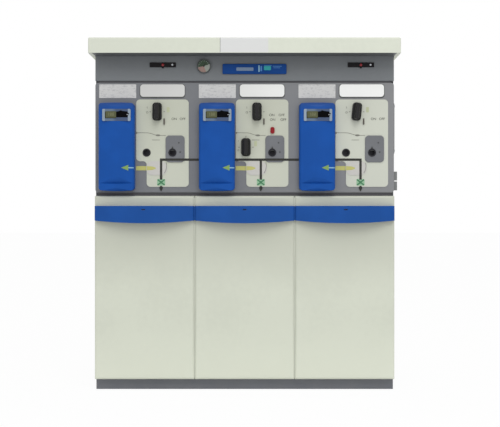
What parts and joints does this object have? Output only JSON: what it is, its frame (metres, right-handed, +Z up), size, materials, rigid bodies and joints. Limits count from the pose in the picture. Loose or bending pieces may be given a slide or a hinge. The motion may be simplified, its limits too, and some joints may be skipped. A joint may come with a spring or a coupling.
{
  "type": "ring main unit",
  "caption": "Free-standing gas-insulated ring main unit with three bays, lift-off cable covers, turning selector knobs and a projecting hood.",
  "frame": {"origin": "on the floor, under the middle of the unit and its hood", "axes": "+Z up, -Y towards the viewer in front of the unit, +X to their right"},
  "size_m": [1.185, 0.78, 1.347],
  "materials": {
    "cream_paint": "satin",
    "dark_paint": "satin",
    "grey_paint": "satin",
    "blue_moulding": "satin",
    "black_moulding": "matte",
    "mimic_print": "matte",
    "grey_moulding": "matte",
    "white_moulding": "satin",
    "red_moulding": "satin",
    "rating_metal": "satin",
    "tank_steel": "brushed",
    "zinc_sheet": "satin",
    "socket_steel": "satin",
    "display_glass": "glossy",
    "grommet_rubber": "matte",
    "bushing_resin": "glossy"
  },
  "bodies": {
    "unit": {"base_frame": "dark_paint", "bay_partitions": "zinc_sheet", "cable_bushings": "bushing_resin", "cable_cover_1": "cream_paint", "cable_cover_2": "cream_paint", "cable_cover_3": "cream_paint", "cable_grommets": "grommet_rubber", "circuit_label_plates": "white_moulding", "cover_handle_1": "blue_moulding", "cover_handle_2": "blue_moulding", "cover_handle_3": "blue_moulding", "display_bezels": "white_moulding", "display_panes": "display_glass", "drive_sockets": "socket_steel", "front_panel": "grey_paint", "gas_gauge": "black_moulding", "gas_tank": "tank_steel", "gland_plates": "zinc_sheet", "interlock_blocks": "grey_moulding", "knob_bushes": "black_moulding", "left_side_panel": "cream_paint", "lock_tabs": "black_moulding", "mechanism_housing": "zinc_sheet", "mimic_plate_1": "mimic_print", "mimic_plate_2": "mimic_print", "mimic_plate_3": "mimic_print", "position_windows": "white_moulding", "rating_plates": "rating_metal", "rear_panel": "cream_paint", "relay_panel": "blue_moulding", "right_side_panel": "cream_paint", "side_bracket": "zinc_sheet", "side_cover_plate": "grey_paint", "test_cover_1": "blue_moulding", "test_cover_2": "blue_moulding", "test_cover_3": "blue_moulding", "top_hood": "cream_paint", "trip_target": "red_moulding", "upper_fascia": "dark_paint", "voltage_indicators": "black_moulding"},
    "selector_knob_1": {"selector_knob_1": "black_moulding"},
    "selector_knob_2": {"selector_knob_2": "black_moulding"},
    "selector_knob_3": {"selector_knob_3": "black_moulding"},
    "earth_knob_2": {"earth_knob_2": "black_moulding"}
  },
  "joints": [
    {"name": "selector_turn_1", "type": "hinge", "parent": "unit", "child": "selector_knob_1", "pos_m": [-0.3375, -0.318, 1.073], "axis": [0, -1, 0], "range_deg": [0, 90]},
    {"name": "selector_turn_2", "type": "hinge", "parent": "unit", "child": "selector_knob_2", "pos_m": [0.0475, -0.318, 1.073], "axis": [0, -1, 0], "range_deg": [0, 90]},
    {"name": "selector_turn_3", "type": "hinge", "parent": "unit", "child": "selector_knob_3", "pos_m": [0.4325, -0.318, 1.073], "axis": [0, -1, 0], "range_deg": [0, 96]},
    {"name": "earth_turn_2", "type": "hinge", "parent": "unit", "child": "earth_knob_2", "pos_m": [0.005, -0.318, 0.936], "axis": [0, -1, 0], "range_deg": [0, 90]}
  ]
}
